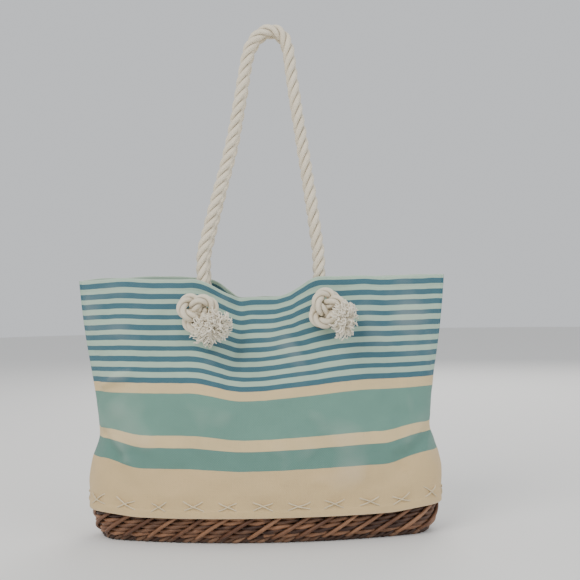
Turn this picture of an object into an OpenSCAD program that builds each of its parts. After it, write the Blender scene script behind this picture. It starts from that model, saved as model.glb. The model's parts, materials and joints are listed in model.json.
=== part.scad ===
// Beach bag: two striped cloth panels sewn round a shallow willow basket, with two
// knotted rope handles that pass through eyelets below the mouth.
// The bag stands on z = 0 with its middle at the origin. The front faces -Y.

/* [Cloth] */
// Width across the two corners of the mouth
bag_w = 456; // [380:1:540]
// Height of the mouth at its corners
bag_h = 314; // [260:1:380]
// Opening of the mouth from front to back
mouth_gap = 84; // [70:1:110]
// How far the mouth sags between the handles
mouth_dip = 25; // [0:1:40]
// How far each panel's top falls in between the handles
mouth_pinch = 24; // [0:1:28]
// How far each side draws in above the basket
waist = 16; // [0:1:25]
// Thickness of the cloth
cloth_t = 1.6; // [1:0.1:3]
// Height of the cloth's lower hem above the ground
hem_z = 33; // [20:1:45]

/* [Basket] */
// Width of the basket
basket_w = 426; // [350:1:500]
// Depth of the basket
basket_d = 144; // [132:1:200]
// Height of the basket
basket_h = 60; // [54:1:80]
// Radius of the basket's two ends in plan, between which its long sides bow out
end_r = 46; // [36:1:56]
// Thickness of the woven wall
wall_t = 9; // [6:0.5:12]
// Thickness of the woven floor
floor_t = 6; // [4:0.5:8]
// Width and height of the border that the basket stands on
foot_h = 9; // [7:0.5:12]
// Thickness of the border round the basket's top
rim_d = 10; // [8:0.5:13]
// Radius that rounds the wall into the foot
round_r = 30; // [28:1:40]
// Height at which that rounding ends
round_h = 27; // [20:1:28]

/* [Handles] */
// Rope diameter
rope_d = 15; // [10:0.5:18]
// Rise of the handle's centreline above the mouth
handle_h = 305; // [220:1:360]
// Distance between the two feet of a handle
foot_gap = 144; // [110:1:170]
// Radius of the rope's centreline at the crown
crown_r = 26; // [18:1:40]
// How far the crown lies to the right of the middle
crown_shift = 13; // [-20:1:20]
// Angle that a handle swings outward and down
swing = 120; // [60:5:120]
// Gap between the two handles at the crown
crown_gap = 1.6; // [1:0.2:6]

/* [Eyelets] */
// Distance from the mouth down to an eyelet
eyelet_drop = 48; // [40:1:65]
// Outer diameter of an eyelet's flange
flange_d = 28; // [26:0.5:34]
// Thickness of the flange and of its washer
flange_t = 1.2; // [0.8:0.1:2]
// Thickness of the eyelet's barrel
barrel_t = 0.8; // [0.6:0.1:1.2]

/* [Knots] */
// Width of a knot
knot_d = 46; // [40:1:56]
// Distance from a knot's flat to its far side
knot_t = 34; // [30:1:40]
// Diameter of the frayed end
fray_d = 34; // [26:1:44]
// Length of the frayed end, from the middle of the knot
fray_l = 32; // [30:1:44]
// Angle that the frayed end hangs down from straight out
fray_turn = 55; // [30:5:70]

/* [Stitches] */
// Number of cross stitches round the basket
stitch_count = 24; // [16:4:32]
// Width of a cross stitch
stitch_w = 25; // [16:1:32]
// Height of a cross stitch
stitch_h = 10; // [6:1:16]
// Diameter of the thread
thread_d = 1.8; // [1:0.1:2.5]
// Height of the stitches above the hem
stitch_up = 13; // [8:1:20]

/* [Hidden] */
$fn = 48;

// Fits and gaps
basket_gap = 2.5;     // cloth to basket wall
seat_play = 0.295;    // flange to cloth at the flange's rim
bulge_allow = 4;      // times the cloth's bulge across the flange that it stands off
bore_gap = 0.7;       // rope to eyelet bore
barrel_gap = 0.2;     // barrel to the hole in the cloth
leg_gap = 1;          // rope leg to washer
touch_gap = 0.1;      // thread to cloth
hinge_gap = 0.4;      // rope leg to the handle that swings over it
axis_up = 20;         // hinge line above the mouth
elbow_inside = 0.5;   // radius inside the bend of a rope leg

// Shape of the mouth
dip_w = 48;           // half width of the sag between the handles
pinch_w = 36;         // half width of the pinch between the handles
waist_at = 0.23;      // share of the cloth's height where the waist is
waist_below = 0.13;   // share of the cloth's height that the waist takes below that
waist_above = 0.45;   // and above it
tip_ratio = 3;        // the mouth's sharp corners need three times the inset

// Tape inside the side seams
tape_w = 9;           // width
tape_t = 1.2;         // thickness
tape_up = 3;          // from the basket's rim up to the tape's lower end
tape_gap = 0.3;       // tape to the line where the panels meet
tape_lean = 2.4;      // how much further in from that line the tape lies at the mouth

// Mesh of a panel
across = 34;          // strips from seam to seam
up = 12;              // strips from hem to mouth

// Mesh of the basket's ring
end_steps = 12;       // steps round an end
long_steps = 16;      // steps along a long side
rim_steps = 10;       // steps round the rim's section

// Mesh of a handle
sides = 12;           // flats round the rope
crown_steps = 8;      // steps round the crown
cap_steps = 3;        // steps from a foot's tip to its full width

rope_r = rope_d / 2;
bore_r = rope_r + bore_gap;
hole_r = bore_r + barrel_t + barrel_gap;
cloth_a = basket_w / 2 + basket_gap + cloth_t;
cloth_b = basket_d / 2 + basket_gap + cloth_t;
cloth_r = end_r + basket_gap + cloth_t;
rim_z = basket_h;
side_r = long_r(basket_w / 2, basket_d / 2, end_r);   // long sides of the basket's plan
seat_bulge = mouth_gap / 2 * pow(flange_d / bag_w, 2)
    + pow(flange_d * basket_w / bag_w, 2) / (8 * side_r);
seat_gap = seat_play + bulge_allow * seat_bulge;
hinge_z = bag_h + axis_up;

function lerp(a, b, t) = a + (b - a) * t;
function bump(d, w) = exp(-pow(d / w, 2));

// Height of the mouth at a distance x from the middle
function mouth_z(x) = bag_h - mouth_dip * exp(-pow(x / dip_w, 4));

// An oval of half sizes a and b has ends of radius r and long sides of this radius
function long_r(a, b, r) = (a * a - 2 * a * r + b * b) / (2 * (b - r));

// Heading, in degrees from -Y, where a long side meets an end
function join_turn(a, b, r) = atan2(a - r, long_r(a, b, r) - b);

// Length of a quarter of the oval
function quarter(a, b, r) =
    let (e = join_turn(a, b, r)) (long_r(a, b, r) * e + r * (90 - e)) * PI / 180;

// Heading of the oval's outward normal, from -90 to 90: s runs from -1 at the left end to 1
function oval_turn(s, a, b, r) =
    let (d = abs(s) * quarter(a, b, r) * 180 / PI, e = join_turn(a, b, r), big_r = long_r(a, b, r))
    (s < 0 ? -1 : 1) * (d <= big_r * e ? d / big_r : e + (d - big_r * e) / r);

// Front half of the oval at a heading
function oval_at(turn, a, b, r) =
    let (big_r = long_r(a, b, r), side = turn < 0 ? -1 : 1)
    abs(turn) <= join_turn(a, b, r) ? [big_r * sin(turn), big_r - b - big_r * cos(turn)]
    : [side * (a - r + r * sin(abs(turn))), -r * cos(turn)];

function oval_half(s, a, b, r) = oval_at(oval_turn(s, a, b, r), a, b, r);

// Front half of the mouth, a pointed lens
function lens_half(s, a, g) = [a * s, -g * (1 - s * s)];

// A point of the front panel: s across, v from hem to mouth, inset in from the outer face
function panel_point(s, v, inset) =
    let (top = mouth_z(bag_w / 2 * s),
         z = lerp(hem_z, top, v),
         t = max(0, (z - rim_z) / (top - rim_z)),
         low = oval_half(s, cloth_a - inset, cloth_b - inset, cloth_r - inset),
         high = lens_half(s, bag_w / 2 - tip_ratio * inset, mouth_gap / 2 - inset),
         draw = waist * bump(t - waist_at, t < waist_at ? waist_below : waist_above) * pow(s, 3),
         dent = mouth_pinch * bump(bag_w / 2 * s, pinch_w) * pow(t, 3))
    [lerp(low.x, high.x, t) - draw, lerp(low.y, high.y, t) + dent, z];

// The eyelet's place on the panel's middle surface, and the panel's lean there
eyelet_v = (mouth_z(foot_gap / 2) - eyelet_drop - hem_z) / (mouth_z(foot_gap / 2) - hem_z);
eyelet_t = (mouth_z(foot_gap / 2) - eyelet_drop - rim_z) / (mouth_z(foot_gap / 2) - rim_z);
eyelet_s = foot_gap / 2 / lerp(quarter(cloth_a, cloth_b, cloth_r), bag_w / 2, eyelet_t);
eyelet_at = panel_point(eyelet_s, eyelet_v, cloth_t / 2);
mouth_at = panel_point(eyelet_s, 1, cloth_t / 2);
lean = atan((mouth_at.y - eyelet_at.y) / (mouth_at.z - eyelet_at.z));

// The rope's leg inside the bag, in the eyelet's own frame
flange_out = cloth_t / 2 + seat_gap + flange_t;
leg_off = flange_out + leg_gap + rope_r;
elbow_r = rope_r + elbow_inside;
leg_top = (hinge_z - eyelet_at.z + leg_off * sin(lean)) / cos(lean);
foot_x = eyelet_at.x;
foot_y = eyelet_at.y + leg_off * cos(lean) + leg_top * sin(lean);

// The handle, in the plane that leans from its feet to the crown
crown_y = -(rope_r + crown_gap / 2);
rise = handle_h - axis_up;
tilt = atan((crown_y - foot_y) / rise);
crown_mid = rise / cos(tilt) - crown_r;
function reach(side) = norm([foot_x - side * crown_shift, crown_mid]);
function slope(side) = acos(crown_r / reach(side)) - atan2(crown_mid, foot_x - side * crown_shift);
big = 1000;

// Puts its children in a corner's own frame: front or back, left or right
module at_corner(side, face) {
    mirror([side < 0 ? 1 : 0, 0, 0]) mirror([0, face < 0 ? 1 : 0, 0]) children();
}

// The eyelet's frame on the front right: outward is -Y, and up runs up the cloth
module at_eyelet() {
    translate(eyelet_at) rotate([-lean, 0, 0]) children();
}

// Turns a cylinder along Z to run from y = 0 towards -Y
module outward() {
    rotate([90, 0, 0]) children();
}

// Heading at which the plan's long sides meet its ends
side_turn = join_turn(basket_w / 2, basket_d / 2, end_r);

// Sweep a 2D profile (radius from the end's centre, height) along the front side alone and
// round the right end
module long_side() {
    translate([0, side_r - basket_d / 2, 0]) rotate([0, 0, -90 - side_turn])
        rotate_extrude(angle = 2 * side_turn, $fn = 600) translate([side_r - end_r, 0]) children();
}

module round_end() {
    translate([basket_w / 2 - end_r, 0, 0]) rotate([0, 0, side_turn - 90])
        rotate_extrude(angle = 180 - 2 * side_turn, $fn = 96) children();
}

// The front half of the basket's plan at radius x from the end's centre, then all of it
function front_plan(x) =
    let (a = basket_w / 2 - end_r + x, b = basket_d / 2 - end_r + x)
    concat([for (i = [0 : end_steps - 1]) oval_at(lerp(-90, -side_turn, i / end_steps), a, b, x)],
           [for (i = [0 : long_steps]) oval_at(lerp(-1, 1, i / long_steps) * side_turn, a, b, x)],
           [for (i = [1 : end_steps]) oval_at(lerp(side_turn, 90, i / end_steps), a, b, x)]);

function ring_plan(x) =
    let (half = front_plan(x)) concat(half, [for (i = [1 : len(half) - 2]) -half[i]]);

module plan_slab(x, h) {
    linear_extrude(h) polygon(ring_plan(x));
}

// A closed profile of [radius from the end's centre, height] swept all the way round
module ring_sweep(profile) {
    n = len(profile);
    m = len(ring_plan(end_r));
    rings = [for (p = profile) ring_plan(p.x)];
    points = [for (i = [0 : m - 1], j = [0 : n - 1]) [rings[j][i].x, rings[j][i].y, profile[j].y]];
    function at(i, j) = i % m * n + j % n;
    polyhedron(points, [for (i = [0 : m - 1], j = [0 : n - 1]) each [
        [at(i, j), at(i, j + 1), at(i + 1, j + 1)], [at(i, j), at(i + 1, j + 1), at(i + 1, j)]]],
        convexity = 6);
}

// How far the rounded lower edge lies in from the basket's full width
function round_inset(z) = z >= round_h ? 0 : round_r - sqrt(round_r * round_r - pow(round_h - z, 2));

module panel() {
    row = across + 1;
    skin = row * (up + 1);
    points = [for (inset = [0, cloth_t], j = [0 : up], i = [0 : across])
        panel_point(2 * i / across - 1, j / up, inset)];
    function at(face, i, j) = face * skin + j * row + i;
    function quad(a, b, c, d) = [[a, b, c], [a, c, d]];
    outer = [for (i = [0 : across - 1], j = [0 : up - 1])
        each quad(at(0, i, j), at(0, i, j + 1), at(0, i + 1, j + 1), at(0, i + 1, j))];
    inner = [for (i = [0 : across - 1], j = [0 : up - 1])
        each quad(at(1, i, j), at(1, i + 1, j), at(1, i + 1, j + 1), at(1, i, j + 1))];
    rims = [for (i = [0 : across - 1]) each concat(
        quad(at(0, i, 0), at(0, i + 1, 0), at(1, i + 1, 0), at(1, i, 0)),
        quad(at(0, i, up), at(1, i, up), at(1, i + 1, up), at(0, i + 1, up)))];
    ends = [for (j = [0 : up - 1]) each concat(
        quad(at(0, 0, j), at(1, 0, j), at(1, 0, j + 1), at(0, 0, j + 1)),
        quad(at(0, across, j), at(0, across, j + 1), at(1, across, j + 1), at(1, across, j)))];
    difference() {
        polyhedron(points, concat(outer, inner, rims, ends), convexity = 6);
        for (side = [-1, 1]) at_corner(side, 1) at_eyelet()
            outward() cylinder(r = hole_r, h = 4 * flange_out, center = true);
    }
}

// Tape over the seam allowances inside one side, from above the basket's rim to the mouth
module seam_tape() {
    first = ceil((rim_z + tape_up - hem_z) / (bag_h - hem_z) * up);
    function edge(j) = let (p = panel_point(1, j / up, cloth_t), t = (p.z - rim_z) / (bag_h - rim_z))
        [p.x - tape_gap - tape_lean * t * t, p.z];
    outline = concat([for (j = [first : up]) edge(j)],
                     [for (j = [up : -1 : first]) edge(j) - [tape_w, 0]]);
    color("wheat") rotate([90, 0, 0]) linear_extrude(tape_t, center = true) polygon(outline);
}

module basket_floor() {
    color("sienna") translate([0, 0, foot_h - floor_t])
        plan_slab(end_r - round_inset(foot_h / 2) - foot_h, floor_t);
}

module basket_foot() {
    outer = end_r - round_inset(foot_h / 2);
    color("saddlebrown") difference() {
        plan_slab(outer, foot_h);
        translate([0, 0, -foot_h]) plan_slab(outer - foot_h, 3 * foot_h);
    }
}

// Outline of the woven wall, which curves in towards the foot
module wall_profile() {
    low = foot_h;
    high = basket_h - rim_d;
    steps = 5;
    heights = [for (i = [0 : steps]) lerp(low, round_h, i / steps)];
    outer = [for (z = heights) [end_r - round_inset(z), z]];
    inner = [for (i = [steps : -1 : 0]) outer[i] - [wall_t, 0]];
    polygon(concat(outer, [[end_r, high], [end_r - wall_t, high]], inner));
}

// The rim is round above and flat below, where it sits on the wall
module basket_rim() {
    middle = [end_r - rim_d / 2, basket_h - rim_d / 2];
    color("sienna") ring_sweep(concat(
        [middle + [rim_d / 4, -rim_d / 2]],
        [for (i = [0 : rim_steps]) middle + rim_d / 2 * [cos(lerp(-30, 210, i / rim_steps)),
                                                        sin(lerp(-30, 210, i / rim_steps))]],
        [middle + [-rim_d / 4, -rim_d / 2]]));
}

module eyelet() {
    color("silver") at_eyelet() outward() difference() {
        union() {
            translate([0, 0, -flange_out + flange_t])
                cylinder(r = bore_r + barrel_t, h = 2 * flange_out - flange_t);
            translate([0, 0, flange_out - flange_t]) cylinder(d = flange_d, h = flange_t);
        }
        cylinder(r = bore_r, h = 4 * flange_out, center = true);
    }
}

module washer() {
    color("darkgray") at_eyelet() outward() translate([0, 0, -flange_out]) difference() {
        cylinder(d = flange_d, h = flange_t);
        cylinder(r = bore_r, h = 4 * flange_t, center = true);
    }
}

// Rope from below the hinge line down inside the cloth, round an elbow and out to the knot.
// Its top is cut level, and again at a slope that clears the handle when it is down.
module rope_leg() {
    stub = leg_off - elbow_r + flange_out;
    clear = rope_r + hinge_gap;
    color("ivory") difference() {
        at_eyelet() translate([0, leg_off - elbow_r, elbow_r]) {
            translate([0, elbow_r, 0]) cylinder(r = rope_r, h = leg_top);
            rotate([0, 90, 0])
                rotate_extrude(angle = 90) translate([elbow_r, 0]) circle(rope_r);
            translate([0, 0, -elbow_r]) outward() cylinder(r = rope_r, h = stub);
        }
        for (turn = [0, swing - tilt - 90])
            translate([foot_x, foot_y, hinge_z]) rotate([turn, 0, 0])
                translate([-big / 2, -big / 2, -clear]) cube(big);
    }
}

// Middle of a knot, which is a ball that sits on the flange with a flat
module at_knot() {
    at_eyelet() outward() translate([0, 0, flange_out + knot_t - knot_d / 2]) children();
}

module knot() {
    color("ivory") at_knot() intersection() {
        sphere(d = knot_d);
        translate([0, 0, knot_d / 2 - knot_t]) cylinder(d = knot_d, h = knot_t);
    }
}

// The rope's end, opened into loose yarns, which points down and out of the knot
module fray() {
    color("linen") at_knot() rotate([fray_turn, 0, 0]) rotate_extrude() difference() {
        polygon([[0, 0], [rope_r, 0], [fray_d / 2, fray_l], [0, fray_l]]);
        circle(d = knot_d);
    }
}

// One handle from ball end to ball end. Each ring is [x, height, heading, radius] in its plane.
module handle_rope() {
    function cap(side, i) = let (a = 90 * i / cap_steps, s = slope(side))
        [side * (foot_x + rope_r * cos(a) * sin(s)), -rope_r * cos(a) * cos(s),
         side * s + (side < 0 ? 180 : 0), rope_r * sin(a)];
    function crown(a) = [crown_shift + crown_r * cos(a), crown_mid + crown_r * sin(a), a, rope_r];
    function tip(side) = [side * (foot_x + rope_r * sin(slope(side))), 0,
                          -rope_r * cos(slope(side))];
    function at(i, k) = i * sides + k % sides;
    first = slope(1);
    last = 180 - slope(-1);
    rings = concat(
        [for (i = [1 : cap_steps]) cap(1, i)],
        [for (i = [0 : crown_steps]) crown(lerp(first, last, i / crown_steps))],
        [for (i = [cap_steps : -1 : 1]) cap(-1, i)]);
    end = len(rings) - 1;
    skin = [for (r = rings, k = [0 : sides - 1]) let (a = 360 * k / sides)
        [r[0] + r[3] * cos(a) * cos(r[2]), r[3] * sin(a), r[1] + r[3] * cos(a) * sin(r[2])]];
    tube = [for (i = [0 : end - 1], k = [0 : sides - 1]) each
        [[at(i, k), at(i, k + 1), at(i + 1, k + 1)], [at(i, k), at(i + 1, k + 1), at(i + 1, k)]]];
    ends = [for (k = [0 : sides - 1]) each
        [[len(skin), at(0, k + 1), at(0, k)], [len(skin) + 1, at(end, k), at(end, k + 1)]]];
    color("ivory") translate([0, foot_y, hinge_z]) rotate([-tilt, 0, 0])
        polyhedron(concat(skin, [tip(1), tip(-1)]), concat(tube, ends), convexity = 4);
}

module cross_stitch() {
    half = norm([stitch_w, stitch_h]) / 2;
    rise = atan2(stitch_h, stitch_w);
    for (way = [-1, 1]) rotate([0, 90 + way * rise, 0])
        cylinder(d = thread_d, h = 2 * half, center = true, $fn = 24);
}

// Cross stitches on the front half, from the first to the last step away from the middle
module stitches(first, last) {
    steps = stitch_count / 4;
    a = cloth_a;
    b = cloth_b;
    r = cloth_r;
    color("cornsilk") for (i = [first : last]) {
        p = oval_half(i / steps, a, b, r);
        translate([p.x, p.y, hem_z + stitch_up]) rotate([0, 0, oval_turn(i / steps, a, b, r)])
            translate([0, -thread_d / 2 - touch_gap, 0]) cross_stitch();
    }
}

color("cadetblue") panel();  // front_panel
color("cadetblue") at_corner(1, -1) panel();  // back_panel
at_corner(-1, 1) seam_tape();  // left_seam_tape
seam_tape();  // right_seam_tape

basket_floor();
basket_foot();
basket_rim();

color("peru") long_side() wall_profile();  // basket_front_wall
color("peru") rotate([0, 0, 180]) long_side() wall_profile();  // basket_back_wall
color("peru") rotate([0, 0, 180]) round_end() wall_profile();  // basket_left_wall
color("peru") round_end() wall_profile();  // basket_right_wall

at_corner(-1, 1) eyelet();  // front_left_eyelet
at_corner(1, 1) eyelet();  // front_right_eyelet
at_corner(-1, -1) eyelet();  // back_left_eyelet
at_corner(1, -1) eyelet();  // back_right_eyelet

at_corner(-1, 1) washer();  // front_left_washer
at_corner(1, 1) washer();  // front_right_washer
at_corner(-1, -1) washer();  // back_left_washer
at_corner(1, -1) washer();  // back_right_washer

at_corner(-1, 1) rope_leg();  // front_left_rope_leg
at_corner(1, 1) rope_leg();  // front_right_rope_leg
at_corner(-1, -1) rope_leg();  // back_left_rope_leg
at_corner(1, -1) rope_leg();  // back_right_rope_leg

at_corner(-1, 1) knot();  // front_left_knot
at_corner(1, 1) knot();  // front_right_knot
at_corner(-1, -1) knot();  // back_left_knot
at_corner(1, -1) knot();  // back_right_knot

at_corner(-1, 1) fray();  // front_left_fray
at_corner(1, 1) fray();  // front_right_fray
at_corner(-1, -1) fray();  // back_left_fray
at_corner(1, -1) fray();  // back_right_fray

handle_rope();  // front_handle_rope
at_corner(1, -1) handle_rope();  // back_handle_rope

stitches(1 - stitch_count / 4, stitch_count / 4 - 1);  // front_stitches
at_corner(1, -1) stitches(1 - stitch_count / 4, stitch_count / 4 - 1);  // back_stitches
stitches(-stitch_count / 4, -stitch_count / 4);  // left_stitch
stitches(stitch_count / 4, stitch_count / 4);  // right_stitch
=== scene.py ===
import json
import math

import bpy
import numpy as np
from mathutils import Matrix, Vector


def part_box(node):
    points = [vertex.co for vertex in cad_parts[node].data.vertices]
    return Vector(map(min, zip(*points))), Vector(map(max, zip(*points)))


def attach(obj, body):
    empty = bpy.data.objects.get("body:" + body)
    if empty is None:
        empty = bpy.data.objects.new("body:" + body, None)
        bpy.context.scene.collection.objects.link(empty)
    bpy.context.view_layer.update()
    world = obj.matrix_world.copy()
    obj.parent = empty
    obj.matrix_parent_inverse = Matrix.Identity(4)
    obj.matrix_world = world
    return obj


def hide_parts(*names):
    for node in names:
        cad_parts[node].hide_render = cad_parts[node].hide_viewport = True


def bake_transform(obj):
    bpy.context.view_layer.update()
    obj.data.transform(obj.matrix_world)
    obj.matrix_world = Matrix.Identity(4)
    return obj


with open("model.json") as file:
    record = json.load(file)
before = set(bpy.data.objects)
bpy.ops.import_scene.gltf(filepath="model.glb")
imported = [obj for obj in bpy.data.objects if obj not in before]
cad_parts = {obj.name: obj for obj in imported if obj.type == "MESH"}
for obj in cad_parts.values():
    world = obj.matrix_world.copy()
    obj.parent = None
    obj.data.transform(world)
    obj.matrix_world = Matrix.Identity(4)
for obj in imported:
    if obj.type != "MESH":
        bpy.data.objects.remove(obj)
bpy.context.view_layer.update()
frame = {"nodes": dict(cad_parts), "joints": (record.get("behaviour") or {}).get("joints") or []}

# ------------------------------ sizes, in metres

# Cloth, with the same driving sizes as the CAD panels
BAG_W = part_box("front_panel")[1].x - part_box("front_panel")[0].x
BAG_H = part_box("front_panel")[1].z
HEM_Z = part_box("front_panel")[0].z
CLOTH_R = 0.0501
RIM_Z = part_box("basket_rim")[1].z
MOUTH_GAP = 0.084
DIP = 0.025
PINCH = 0.022
WAIST = 0.016
WAIST_AT = 0.23
WAIST_BELOW = 0.13
WAIST_ABOVE = 0.45
CLOTH_T = 0.0012
CLOTH_LENGTH = 0.2857
CLOTH_WIDTH = 0.500

# Stripes, from the lower hem up
LINEN = 0.058
SAGE_LOW = 0.0235
TAN_LOW = 0.0155
SAGE_HIGH = 0.050
TAN_HIGH = 0.0125
BLUE_STRIPE = 0.00635
BLUE_STRIPES = 10

# Basket
BASKET_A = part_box("basket_right_wall")[1].x
BASKET_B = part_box("basket_back_wall")[1].y
BASKET_R = 0.046
END_X = BASKET_A - BASKET_R
SIDE_R = ((BASKET_A ** 2 - 2 * BASKET_A * BASKET_R + BASKET_B ** 2)
          / (2 * (BASKET_B - BASKET_R)))
SIDE_Y = SIDE_R - BASKET_B
JOIN = math.atan2(END_X, SIDE_Y)
ROUND_R = 0.030
ROUND_H = 0.027
STAKES = 31
STAKE_SLOPE = math.radians(33)

# Rope
ROPE_D = 0.015
ROPE_LAY = 0.044
FOOT_X = 0.07119
FOOT_Y = 0.02187
HINGE_Z = next(j for j in frame["joints"] if j["name"] == "front_handle_swing")["pos_m"][2]
CROWN_Y = 0.0083
CROWN_Z = 0.619
EYELET_Z = 0.26579
EYELET_Y = 0.04323
EYELET_HOLE = 0.0100
LEAN = math.radians(7.72)
LEG_OFF = 0.0120
KNOT_ROPE_D = 0.0136

TAU = 2 * math.pi


# ------------------------------ camera
def make_camera():
    """Level camera in front of the bag, rolled by the small angle at which the bag hangs."""
    data = bpy.data.cameras.new("camera")
    distance, seen_width = 1.20, 0.719
    data.angle = 2 * math.atan(seen_width / 2 / distance)
    camera = bpy.data.objects.new("camera", data)
    camera.location = (0.035, -distance, 0.298)
    camera.rotation_euler = (math.radians(90), math.radians(1.1), 0)
    bpy.context.scene.collection.objects.link(camera)
    bpy.context.scene.camera = camera


# ------------------------------ mesh helpers
def unit(v):
    return v / np.maximum(np.linalg.norm(v, axis=-1, keepdims=True), 1e-12)


def smoothstep(lo, hi, x):
    t = np.clip((x - lo) / (hi - lo), 0, 1)
    return t * t * (3 - 2 * t)


def bump(d, w):
    return np.exp(-(d / w) ** 2)


def lerp(a, b, t):
    return a + (b - a) * t


class Mesher:
    """Collects patches and tubes into one mesh, with UVs in metres and two numbers a vertex:
    tone, a random number for each strand, and depth, a mask of painted shade that is 1 in a
    groove;
    on the canvas it marks lighter edges and a painted highlight on crease ridges."""

    def __init__(self):
        self.points, self.faces, self.uvs = [], [], []
        self.tone, self.depth = [], []
        self.count = 0

    def add(self, points, faces, uvs, tone=0.5, depth=0.0):
        """faces and uvs hold the same loops: lists of corner numbers and of (u, v)."""
        n = len(points)
        self.points.append(np.asarray(points, float).reshape(-1, 3))
        self.faces += [[i + self.count for i in face] for face in faces]
        self.uvs += [corner for face in uvs for corner in face]
        self.tone.append(np.broadcast_to(np.asarray(tone, float), n))
        self.depth.append(np.broadcast_to(np.asarray(depth, float), n))
        self.count += n

    def tube(self, path, radius, sides=8, normal=None, closed=False, tone=0.5, depth=None):
        """A round tube along path. radius is one number or one for each point. Returns the
        frames it used."""
        path = np.asarray(path, float)
        n = len(path)
        side_dir, up_dir = frames(path, normal, closed)
        tone = np.repeat(np.broadcast_to(np.asarray(tone, float), n), sides)
        angle = np.arange(sides) * TAU / sides
        ring = (np.cos(angle)[None, :, None] * side_dir[:, None, :]
                + np.sin(angle)[None, :, None] * up_dir[:, None, :])
        r = np.broadcast_to(np.asarray(radius, float), n)[:, None]
        points = path[:, None, :] + ring * np.broadcast_to(r, (n, sides))[:, :, None]
        step = np.linalg.norm(np.roll(path, -1, axis=0) - path, axis=1)
        along = np.concatenate([[0], np.cumsum(step)])
        girth = TAU * float(np.mean(r))
        faces, corners = [], []
        for i in range(n if closed else n - 1):
            k = (i + 1) % n
            for j in range(sides):
                m = (j + 1) % sides
                faces.append([i * sides + j, i * sides + m, k * sides + m, k * sides + j])
                u0, u1 = girth * j / sides, girth * (j + 1) / sides
                corners.append([(u0, along[i]), (u1, along[i]), (u1, along[i + 1]),
                                (u0, along[i + 1])])
        flat = points.reshape(-1, 3)
        if not closed:
            tips = np.array([path[0], path[-1]])
            flat = np.concatenate([flat, tips])
            tone = np.concatenate([tone, tone[[0, -1]]])
            for j in range(sides):
                m = (j + 1) % sides
                last = (n - 1) * sides
                faces.append([n * sides, m, j])
                corners.append([(0, along[0])] * 3)
                faces.append([n * sides + 1, last + j, last + m])
                corners.append([(0, along[n - 1])] * 3)
        if depth is not None:
            depth = np.broadcast_to(depth, (n, sides)).reshape(-1)
            # the centres of an open tube's two tips take half the painted shade
            depth = depth if closed else np.concatenate([depth, [0.5, 0.5]])
        self.add(flat, faces, corners, tone, 0.0 if depth is None else depth)
        return side_dir, up_dir

    def build(self, name, material):
        mesh = bpy.data.meshes.new(name)
        mesh.from_pydata(np.concatenate(self.points).tolist(), [], self.faces)
        layer = mesh.uv_layers.new(name="UVMap")
        layer.data.foreach_set("uv", np.asarray(self.uvs, np.float32).ravel())
        for key, values in (("tone", self.tone), ("depth", self.depth)):
            attribute = mesh.attributes.new(key, "FLOAT", "POINT")
            attribute.data.foreach_set("value", np.concatenate(values).astype(np.float32))
        mesh.polygons.foreach_set("use_smooth", [True] * len(mesh.polygons))
        mesh.materials.append(material)
        mesh.validate()
        piece = bpy.data.objects.new(name, mesh)
        bpy.context.scene.collection.objects.link(piece)
        return piece


def on_bag(piece, slot, *nodes):
    """Fixes a piece to the bag in place of the CAD nodes named."""
    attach(piece, "bag")
    if nodes:
        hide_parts(*nodes)


def tangents(path, closed=False):
    if closed:
        return unit(np.roll(path, -1, axis=0) - np.roll(path, 1, axis=0))
    return unit(np.gradient(path, axis=0))


def frames(path, normal=None, closed=False):
    """Two directions across the path at each point. They turn as little as they can, or keep
    their second one near Z on a closed ring."""
    t = tangents(path, closed)
    if closed:
        side_dir = unit(np.cross(t, np.array([0.0, 0.0, 1.0])))
        return side_dir, np.cross(side_dir, t)
    if normal is not None and np.ndim(normal) == 2:
        n = unit(normal - np.sum(normal * t, axis=1, keepdims=True) * t)
        return n, np.cross(t, n)
    n = np.zeros_like(t)
    start = np.array([1.0, 0.0, 0.0]) if normal is None else np.asarray(normal, float)
    if abs(start @ t[0]) > 0.95 * np.linalg.norm(start):
        start = np.array([0.0, 1.0, 0.3])
    n[0] = unit(start - (start @ t[0]) * t[0])
    for i in range(1, len(path)):
        turned = n[i - 1] - (n[i - 1] @ t[i]) * t[i]
        n[i] = unit(turned)
    return n, np.cross(t, n)


def smooth_path(points, step):
    """A Catmull-Rom curve through the points, cut at even steps."""
    p = np.asarray(points, float)
    p = np.concatenate([[2 * p[0] - p[1]], p, [2 * p[-1] - p[-2]]])
    dense = []
    for i in range(1, len(p) - 2):
        t = np.linspace(0, 1, 24, endpoint=False)[:, None]
        a, b, c, d = p[i - 1], p[i], p[i + 1], p[i + 2]
        dense.append(0.5 * (2 * b + (c - a) * t + (2 * a - 5 * b + 4 * c - d) * t ** 2
                            + (3 * b - a - 3 * c + d) * t ** 3))
    dense = np.concatenate(dense + [p[-2:-1]])
    return even(dense, step)


def even(path, step):
    length = np.concatenate([[0], np.cumsum(np.linalg.norm(np.diff(path, axis=0), axis=1))])
    count = max(2, int(round(length[-1] / step)) + 1)
    s = np.linspace(0, length[-1], count)
    return np.stack([np.interp(s, length, path[:, k]) for k in range(3)], axis=1)


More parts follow.
